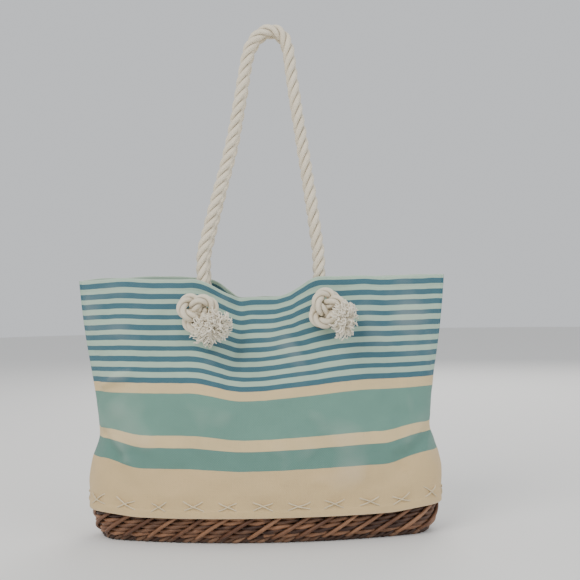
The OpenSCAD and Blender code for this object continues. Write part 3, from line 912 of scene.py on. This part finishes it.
def make_yarns(mesher, corner, base, heading, count, reach, curl, rng, droop):
    """The rope's end opened into its yarns: each leaves the rope's section, bends round towards
    the side it lies on and curls."""
    t = np.linspace(0, 1, 26)
    local_base = np.array([np.dot(base - corner.at, axis)
                           for axis in (corner.right, corner.up, corner.out)])
    d = heading / np.linalg.norm(heading)
    a = unit(np.cross(d, [0, 0, 1.0]))
    b = np.cross(d, a)
    for _ in range(count):
        share, th = math.sqrt(rng.uniform(0, 1)), rng.uniform(0, TAU)
        off = a * math.cos(th) + b * math.sin(th)
        length = reach * rng.uniform(0.62, 1.10)
        bend = 0.15 + FAN * share * rng.uniform(0.55, 1.15)
        bearing = unit(d * math.cos(bend / 2) + off * math.sin(bend / 2))
        sway = unit(np.cross(bearing, unit(rng.normal(size=3))))
        sway2 = np.cross(bearing, sway)
        phase, freq = rng.uniform(0, TAU), rng.uniform(1.6, 3.2)
        size = curl * rng.uniform(0.6, 1.35) * smoothstep(0.0, 0.5, t)
        p = (local_base - d * 0.006 + off * share * YARN_SPREAD)[None, :]
        p = p + (d * (np.sin(bend * t) / bend)[:, None]
                 + off * ((1 - np.cos(bend * t)) / bend)[:, None]) * length
        p = p + (np.sin(phase + TAU * freq * t) * size)[:, None] * sway
        p = p + (np.cos(phase + TAU * freq * t) * size)[:, None] * sway2
        p[:, 1] -= droop * length * t ** 2
        p[:, 2] -= 0.5 * droop * length * t ** 2
        floor = 0.0032 + 0.0010 * rng.uniform()
        p[:, 2] = floor + np.logaddexp(0, (p[:, 2] - floor) / 0.0012) * 0.0012
        path = corner.point(smooth_path(p, 0.0014))
        # painted shade: each yarn darker near its root at the rope's end
        mesher.tube(path, YARN_R * rng.uniform(0.8, 1.15), 5, tone=rng.uniform(0, 1),
                    depth=0.25 * (1 - np.linspace(0, 1, len(path)))[:, None] ** 2
                    * np.ones((1, 5)))


YARN_R = 0.00080
YARN_SPREAD = 0.0056    # radius of the rope's end that the yarns leave from
FAN = 2.8               # radians that the outermost yarns bend by
KNOTS = {
    # knot's shift on the cloth, its turn, the tail's heading, yarns, their reach, curl and droop
    ("left", True): ((-0.0035, 0.0060), -1.75, -0.95, 330, 0.0290, 0.0020, 0.14),
    ("right", True): ((0.0088, 0.0066), -2.355, -0.25, 300, 0.0250, 0.0017, 0.05),
    ("left", False): ((0.0020, 0.0040), -0.35, -1.05, 260, 0.0240, 0.0019, 0.12),
    ("right", False): ((0.0040, 0.0050), -2.0, -0.80, 260, 0.0220, 0.0018, 0.12),
}


def make_ropes(rope, yarn):
    """Both handles and their four knots with frayed ends. The cords come first."""
    for front in (True, False):
        face = "front" if front else "back"
        path = handle_path(front)
        mesher = Mesher()
        last_normal, last_turn = twist_rope(mesher, path, ROPE_D, (1.0, 0, 0), 0.4, 41 + front)
        handle = mesher.build(face + "_rope_handle", rope)
        for name, side, normal, phase in (("left", -1, (1.0, 0, 0), -0.4),
                                          ("right", 1, last_normal, last_turn)):
            corner = Corner(side, front)
            # seen from its own side, the back's left knot is the one at the right foot
            shift, turn, spread, count, reach, curl, droop = KNOTS[name, front]
            knot, tip, heading = knot_path(corner, shift, turn, spread)
            along = np.concatenate([[0], np.cumsum(np.linalg.norm(np.diff(knot, axis=0), axis=1))])
            tail = smoothstep(along[-1] - 0.012, along[-1], along)
            d = lerp(ROPE_D, KNOT_ROPE_D, smoothstep(0.018, 0.030, along)) * (1 + 0.10 * tail)
            mesher = Mesher()
            twist_rope(mesher, knot, d, normal, phase, 50 + side + 7 * front)
            piece = mesher.build(f"{face}_{name}_rope_knot", rope)
            on_bag(piece, "cotton_rope", f"{face}_{name}_knot")
            mesher = Mesher()
            make_yarns(mesher, corner, tip, heading, count, reach, curl,
                       np.random.default_rng(90 + side + 7 * front), droop)
            piece = mesher.build(f"{face}_{name}_yarns", yarn)
            on_bag(piece, "loose_yarn", f"{face}_{name}_fray")
        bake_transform(handle)
        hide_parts(face + "_handle_rope", face + "_left_rope_leg",
                    face + "_right_rope_leg")


# ------------------------------ basket
PLAN_R = 0.042
QUARTER = quarter(PLAN_R)
PLAN_LENGTH = 4 * QUARTER


def plan(along, radius):
    """Point on the oval whose ends have the given radius. along runs from the middle of the
    front to the right, and once round it is PLAN_LENGTH."""
    a, radius = np.broadcast_arrays(np.mod(along, PLAN_LENGTH), radius)
    k = np.floor(a / QUARTER)
    odd = np.mod(k, 2) == 1
    rest = a - k * QUARTER
    turn = oval_turn(np.where(odd, QUARTER - rest, rest), PLAN_R)
    turn = np.where(odd, (k + 1) * math.pi / 2 - turn, k * math.pi / 2 + turn)
    side = np.abs(np.cos(turn)) >= math.cos(JOIN)
    reach = np.where(side, SIDE_R - BASKET_R + radius, radius)
    x = np.where(side, 0, END_X * np.sign(np.sin(turn)))
    y = np.where(side, SIDE_Y * np.sign(np.cos(turn)), 0)
    return np.stack([x + reach * np.sin(turn), y - reach * np.cos(turn)], axis=-1)


def round_inset(z):
    z = np.asarray(z, float)
    return np.where(z >= ROUND_H, 0, ROUND_R - np.sqrt(ROUND_R ** 2 - (ROUND_H - z) ** 2))


def plan_point(along, radius, z):
    along, radius, z = np.broadcast_arrays(along, radius, z)
    return np.concatenate([plan(along, radius), np.asarray(z, float)[..., None]], axis=-1)


STAKE_PITCH = PLAN_LENGTH / STAKES
BORDER_ROD_R = 0.00245
FOOT_RING_R, FOOT_RING_Z, FOOT_TURNS = 0.0308, 0.0049, 31
RIM_RING_R, RIM_RING_Z, RIM_TURNS = 0.0408, 0.0551, 30
FLOOR_R, FLOOR_Z = 0.0295, 0.0058
FLOOR_STICK_PITCH = 0.0285
WALL_LOW, WALL_HIGH = 0.0075, 0.0505
ROWS = 8


def stake_shift(z):
    return (z - 0.02) / math.tan(STAKE_SLOPE)


def make_wall(material, rod):
    """Weavers in level rows, slanted rods over them outside and upright sticks inside."""
    rng = np.random.default_rng(3)
    mesher = Mesher()
    along = np.linspace(0, PLAN_LENGTH, 460, endpoint=False)
    pitch = (WALL_HIGH - WALL_LOW) / ROWS
    for k in range(ROWS):
        z0 = WALL_LOW + pitch * (k + 0.5)
        phase = TAU * (along - stake_shift(z0)) / STAKE_PITCH
        slow = waves(60 + k, 7, 0.30, 0.05)(along, 0 * along)
        z = z0 - 0.0010 * np.sin(phase) + 0.0005 * slow
        radius = BASKET_R - 0.0056 - round_inset(z0) - 0.0014 * np.cos(phase) + 0.0003 * slow
        thick = 0.00270 * (1 + 0.05 * waves(80 + k, 7, 0.2, 0.03)(along, 0 * along))
        tone = np.clip(0.45 + 0.5 * waves(100 + k, 4, 0.5, 0.10)(along, 0 * along), 0, 1)
        # painted shade on each weaver where it passes in under a slanted rod
        shade = np.clip(0.55 * bump(np.mod(phase + math.pi, TAU) - math.pi, 0.55), 0, 1)
        mesher.tube(plan_point(along, radius, z), thick, 9, closed=True, tone=tone,
                    depth=shade[:, None] * np.ones((1, 9)))
    for j in range(STAKES):
        at = (j + 0.5) * STAKE_PITCH + rng.uniform(-0.0018, 0.0018)
        inside = plan_point(at, BASKET_R - 0.0096 - round_inset(np.linspace(0.008, 0.052, 9)),
                            np.linspace(0.008, 0.052, 9))
        mesher.tube(smooth_path(inside, 0.004), 0.0021, 8, tone=rng.uniform(0, 1))
    wall = mesher.build("basket_weave", material)
    mesher = Mesher()
    for j in range(STAKES):
        z = np.linspace(0.0052, 0.0525, 16)
        at = j * STAKE_PITCH + stake_shift(z) + rng.uniform(-0.0012, 0.0012)
        slope = 0.0016 * np.sin((z - 0.02) * 90 + rng.uniform(0, 6))
        inset = round_inset(z)
        radius = BASKET_R - 0.0018 - inset - 0.0030 * smoothstep(0.012, 0.004, z)
        mesher.tube(smooth_path(plan_point(at + slope, radius, z), 0.0028),
                    0.00235 * rng.uniform(0.93, 1.07), 9, tone=rng.uniform(0.25, 0.75))
    rods = mesher.build("basket_slant_rods", rod)
    return wall, rods


def make_ring(name, radius, z0, turns, material, seed):
    """Three rods twisted round each other, all the way round the basket."""
    rng = np.random.default_rng(seed)
    mesher = Mesher()
    along = np.linspace(0, PLAN_LENGTH, 30 * turns, endpoint=False)
    for k in range(3):
        a = TAU * (along / PLAN_LENGTH * turns + k / 3)
        r = BORDER_ROD_R * (1 + 0.05 * np.sin(a / 3 * 2 * round(turns / 2) / turns))
        path = plan_point(along, radius + r * np.cos(a), z0 + r * np.sin(a))
        thick = BORDER_ROD_R * (1 - 0.02 * (1 + np.sin(3 * TAU * along / PLAN_LENGTH + k)))
        tone = np.clip(0.5 + 0.4 * waves(seed + k, 4, 0.5, 0.08)(along, 0 * along)
                       + rng.uniform(-0.1, 0.1), 0, 1)
        mesher.tube(path, thick, 9, closed=True, tone=tone)
    return mesher.build(name, material)


def make_floor(material):
    """Rods along the basket, woven over and under cross sticks."""
    rng = np.random.default_rng(17)
    mesher = Mesher()
    long_r = SIDE_R - BASKET_R + FLOOR_R
    half_y = long_r - SIDE_Y
    sticks = np.linspace(-6, 6, 13) * FLOOR_STICK_PITCH
    for x in sticks:
        reach = (math.sqrt(long_r ** 2 - x * x) - SIDE_Y if abs(x) < long_r * math.sin(JOIN)
                 else math.sqrt(FLOOR_R ** 2 - (abs(x) - END_X) ** 2))
        y = np.linspace(-reach, reach, 12)
        path = np.stack([x + 0 * y, y, FLOOR_Z + 0 * y], axis=1)
        mesher.tube(path, 0.0021, 8, tone=rng.uniform(0, 1))
    count = 22
    for i in range(count):
        y0 = -half_y + 0.0028 + i * (2 * half_y - 0.0056) / (count - 1)
        reach = (END_X + math.sqrt(FLOOR_R ** 2 - y0 * y0) if abs(y0) < FLOOR_R * math.cos(JOIN)
                 else math.sqrt(long_r ** 2 - (abs(y0) + SIDE_Y) ** 2)) - 0.0015
        x = np.linspace(-reach, reach, int(reach / 0.0018))
        wave = np.cos(math.pi * x / FLOOR_STICK_PITCH + math.pi * i)
        path = np.stack([x, y0 + 0.0005 * np.sin(40 * x + i), FLOOR_Z + 0.0019 * wave], axis=1)
        mesher.tube(path, 0.00212 * rng.uniform(0.93, 1.05), 8, tone=rng.uniform(0, 1))
    return mesher.build("basket_woven_floor", material)


# ------------------------------ build
make_camera()

canvas = canvas_material()
rope_cotton = yarn_material("cotton_rope", rgb(242, 234, 216), rgb(206, 193, 168))
yarn_cotton = yarn_material("loose_yarn", rgb(250, 245, 232), rgb(226, 216, 194))
thread = yarn_material("stitch_thread", rgb(226, 212, 182), rgb(188, 170, 136), sheen=0.1)
willow = willow_material("willow_weave", rgb(164, 122, 92), rgb(116, 78, 54), rgb(56, 33, 21))
willow_rod = willow_material("willow_rods", rgb(178, 136, 104), rgb(136, 94, 67), rgb(88, 56, 37))
willow_edge = willow_material("willow_border", rgb(158, 122, 96), rgb(112, 80, 58),
                              rgb(58, 36, 24))
brass = metal_material()
tape = tape_material()

make_ropes(rope_cotton, yarn_cotton)

for face in ("front", "back"):
    panel = make_panel(face + "_cloth", face == "front", canvas)
    on_bag(panel, "striped_canvas", face + "_panel")

for name, side in (("left", -1), ("right", 1)):
    strip = make_tape(name + "_binding", side, tape)
    on_bag(strip, "seam_tape", name + "_seam_tape")

for name, places, node in (("front_threads", range(-5, 6), "front_stitches"),
                           ("back_threads", range(7, 18), "back_stitches"),
                           ("right_threads", [6], "right_stitch"),
                           ("left_threads", [-6], "left_stitch")):
    on_bag(make_stitches(name, places, thread, len(name)), "stitch_thread", node)

wall, rods = make_wall(willow, willow_rod)
foot = make_ring("basket_twisted_foot", FOOT_RING_R, FOOT_RING_Z, FOOT_TURNS, willow_edge, 200)
rim = make_ring("basket_twisted_rim", RIM_RING_R, RIM_RING_Z, RIM_TURNS, willow_edge, 300)
base = make_floor(willow)
for piece, nodes, name in (
        (wall, ["basket_front_wall", "basket_back_wall", "basket_left_wall",
                "basket_right_wall"], "willow_weave"),
        (rods, [], "willow_weave"), (foot, ["basket_foot"], "willow_border"),
        (rim, ["basket_rim"], "willow_border"), (base, ["basket_floor"], "willow_floor")):
    on_bag(piece, name, *nodes)

for name, node in frame["nodes"].items():
    if name.endswith(("eyelet", "washer")):
        node.data.materials.clear()
        node.data.materials.append(brass)


# ------------------------------ studio
def make_studio():
    ground = Nodes("pale_floor")
    ground.shader.inputs["Base Color"].default_value = (0.80, 0.79, 0.77, 1)
    ground.shader.inputs["Roughness"].default_value = 0.85
    mesh = bpy.data.meshes.new("floor")
    n, r = 64, 6.0
    mesh.from_pydata([(r * math.cos(TAU * k / n), r * math.sin(TAU * k / n), 0)
                      for k in range(n)], [], [list(range(n))])
    mesh.materials.append(ground.material)
    floor = bpy.data.objects.new("floor", mesh)
    bpy.context.scene.collection.objects.link(floor)
    world = bpy.data.worlds.new("studio")
    world.use_nodes = True
    world.node_tree.nodes["Background"].inputs[0].default_value = (0.90, 0.92, 0.95, 1)
    world.node_tree.nodes["Background"].inputs[1].default_value = 0.80
    bpy.context.scene.world = world
    for name, at, size, power, tint in (
            ("key", (-1.1, -1.5, 1.7), 1.3, 34, (1.0, 0.97, 0.93)),
            ("fill", (1.6, -1.2, 0.9), 1.6, 14, (0.93, 0.96, 1.0)),
            ("back", (0.5, 1.9, 1.5), 1.5, 24, (1.0, 0.98, 0.95))):
        light = bpy.data.lights.new(name, "AREA")
        light.energy, light.size, light.color = power, size, tint
        lamp = bpy.data.objects.new(name, light)
        lamp.location = at
        lamp.rotation_euler = (Vector((0, 0, 0.28)) - Vector(at)).to_track_quat("-Z",
                                                                            "Y").to_euler()
        bpy.context.scene.collection.objects.link(lamp)


make_studio()
